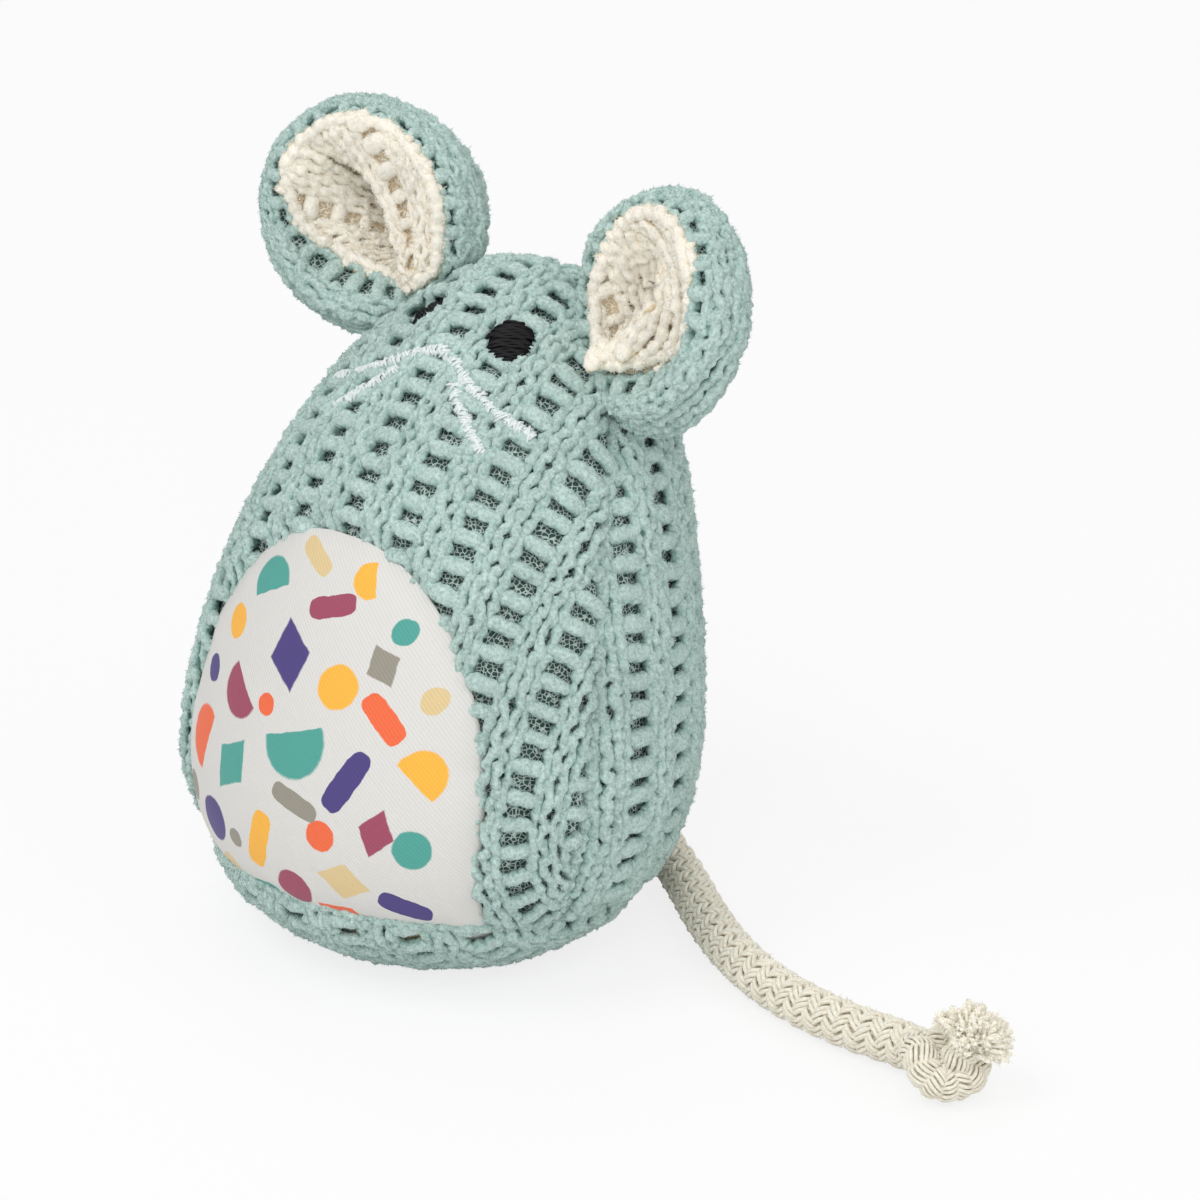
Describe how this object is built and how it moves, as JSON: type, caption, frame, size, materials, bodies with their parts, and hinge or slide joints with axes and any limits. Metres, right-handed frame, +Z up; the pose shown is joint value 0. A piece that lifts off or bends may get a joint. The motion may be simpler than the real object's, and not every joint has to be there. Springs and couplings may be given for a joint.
{
  "type": "catnip mouse toy",
  "caption": "Stuffed knit mouse that sits upright, with cupped ears, a printed belly patch, stitched eyes and whiskers, and a knotted rope tail.",
  "frame": {"origin": "centre of the flat underside of the base panel", "axes": "+Z up from the base to the crown, -Y the way the belly faces, +X the mouse's left side"},
  "size_m": [0.1243, 0.0623, 0.0981],
  "materials": {
    "knit": "matte",
    "ear_lining": "matte",
    "patch": "matte",
    "net": "matte",
    "fibre": "matte",
    "sachet": "matte",
    "black_thread": "satin",
    "white_thread": "satin",
    "rope": "matte"
  },
  "bodies": {
    "torso": {"front_panel": "knit", "back_left_panel": "knit", "back_right_panel": "knit", "base_panel": "knit", "belly_patch": "patch", "net_lining": "net", "stuffing_front": "fibre", "stuffing_back": "fibre", "catnip_sachet": "sachet", "eye_left": "black_thread", "eye_right": "black_thread", "whisker_left_upper": "white_thread", "whisker_left_lower": "white_thread", "whisker_right_upper": "white_thread", "whisker_right_lower": "white_thread", "nose_stitch": "white_thread", "tail_root": "rope"},
    "ear_left": {"ear_left_outer": "knit", "ear_left_lining": "ear_lining"},
    "ear_right": {"ear_right_outer": "knit", "ear_right_lining": "ear_lining"},
    "tail_near": {"tail_rope_near": "rope"},
    "tail_far": {"tail_rope_far": "rope", "tail_knot": "rope", "tail_tuft": "rope"}
  },
  "joints": [
    {"name": "ear_left_flop", "type": "hinge", "parent": "torso", "child": "ear_left", "pos_m": [0.0165, 0.01531, 0.0755], "axis": [0.6629, -0.348, -0.6629], "range_deg": [-18, 18], "stiffness_Nm_per_rad": 0.01},
    {"name": "ear_right_flop", "type": "hinge", "parent": "torso", "child": "ear_right", "pos_m": [-0.0165, 0.01531, 0.0755], "axis": [0.6629, 0.348, 0.6629], "range_deg": [-18, 18], "stiffness_Nm_per_rad": 0.01},
    {"name": "tail_swing", "type": "hinge", "parent": "torso", "child": "tail_near", "pos_m": [0, 0.02944, 0.009], "axis": [0, 0, 1], "range_deg": [0, 120]},
    {"name": "tail_lift", "type": "hinge", "parent": "tail_near", "child": "tail_far", "pos_m": [0.0234, 0.023, 0.00315], "axis": [-0.5879, -0.8089, 0], "range_deg": [0, 55]}
  ]
}
